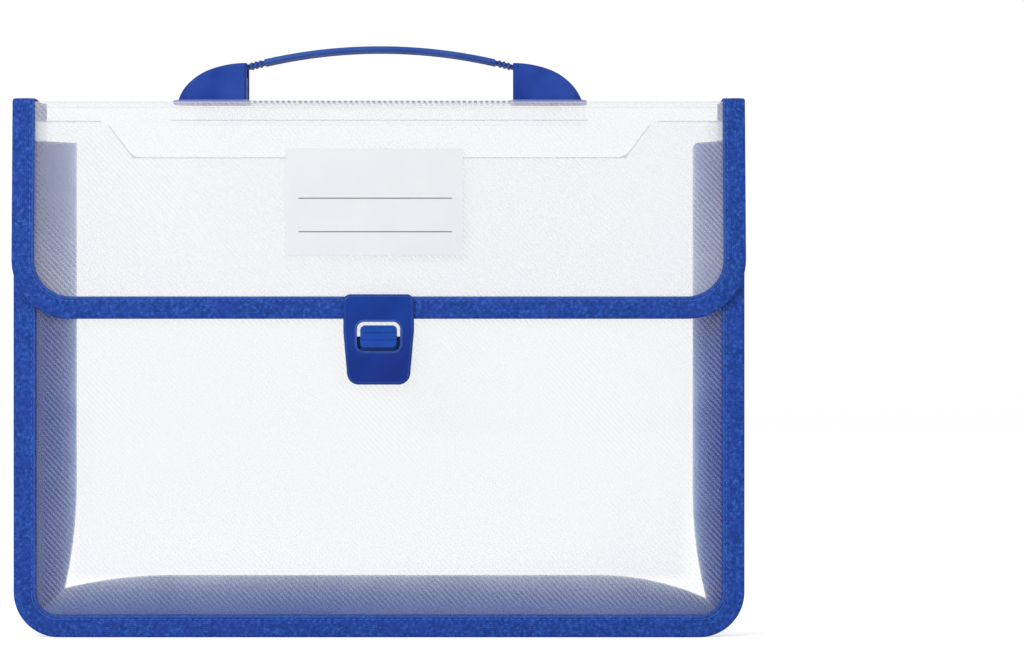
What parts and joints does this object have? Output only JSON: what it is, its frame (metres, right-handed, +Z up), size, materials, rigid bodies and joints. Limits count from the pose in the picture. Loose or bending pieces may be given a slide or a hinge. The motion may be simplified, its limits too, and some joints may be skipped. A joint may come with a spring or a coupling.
{
  "type": "document carry case",
  "caption": "Clear plastic document case with woven blue edging, folding bellows, a bowed carry handle, a label pocket and a flap with a hooked clasp.",
  "frame": {"origin": "middle of the bounding box's bottom face, on the surface that the case stands on", "axes": "+X across the front to the right, +Y from the front to the back, +Z up"},
  "size_m": [0.3714, 0.0458, 0.3],
  "materials": {
    "clear_sheet": "translucent, fine diagonal ribs",
    "blue_film": "translucent, smooth",
    "blue_tape": "woven, sewn along its inner edge",
    "clasp_plastic": "moulded, glossy",
    "handle_plastic": "moulded, satin",
    "clear_plastic": "clear moulded",
    "pocket_film": "clear film",
    "card": "matt paper with two printed lines",
    "steel": "plain"
  },
  "bodies": {
    "case": {"back_panel": "clear_sheet", "front_panel": "clear_sheet", "gusset_left": "blue_film", "gusset_right": "blue_film", "gusset_bottom": "blue_film", "front_binding": "blue_tape", "rear_binding": "blue_tape", "catch_base": "clasp_plastic", "catch_backing_plate": "clasp_plastic", "catch_rivets": "steel", "catch_spring": "steel"},
    "lid": {"top_panel": "clear_sheet", "top_binding_left": "blue_tape", "top_binding_right": "blue_tape", "handle_base": "clear_plastic", "handle_cap_left": "handle_plastic", "handle_cap_right": "handle_plastic", "handle_strap": "handle_plastic", "handle_stiffener": "clear_plastic", "handle_rivets": "clear_plastic"},
    "flap": {"flap_panel": "clear_sheet", "flap_binding": "blue_tape", "clasp_plate": "clasp_plastic", "clasp_backing_plate": "clasp_plastic", "label_pocket": "pocket_film"},
    "button": {"catch_button": "clasp_plastic"},
    "card": {"label_card": "card"}
  },
  "joints": [
    {"name": "lid_hinge", "type": "hinge", "parent": "case", "child": "lid", "pos_m": [0, 0.02195, 0.27065], "axis": [-1, 0, 0], "range_deg": [0, 95]},
    {"name": "flap_hinge", "type": "hinge", "parent": "lid", "child": "flap", "pos_m": [0, -0.01865, 0.27065], "axis": [-1, 0, 0], "range_deg": [0, 175]},
    {"name": "button_slide", "type": "slide", "parent": "case", "child": "button", "axis": [0, 0, 1], "range_m": [0, 0.00125], "stiffness_N_per_m": 400, "springref_m": -0.002, "deforming": ["catch_spring"]},
    {"name": "card_slide", "type": "slide", "parent": "flap", "child": "card", "axis": [1, 0, 0], "range_m": [0, 0.09]}
  ]
}
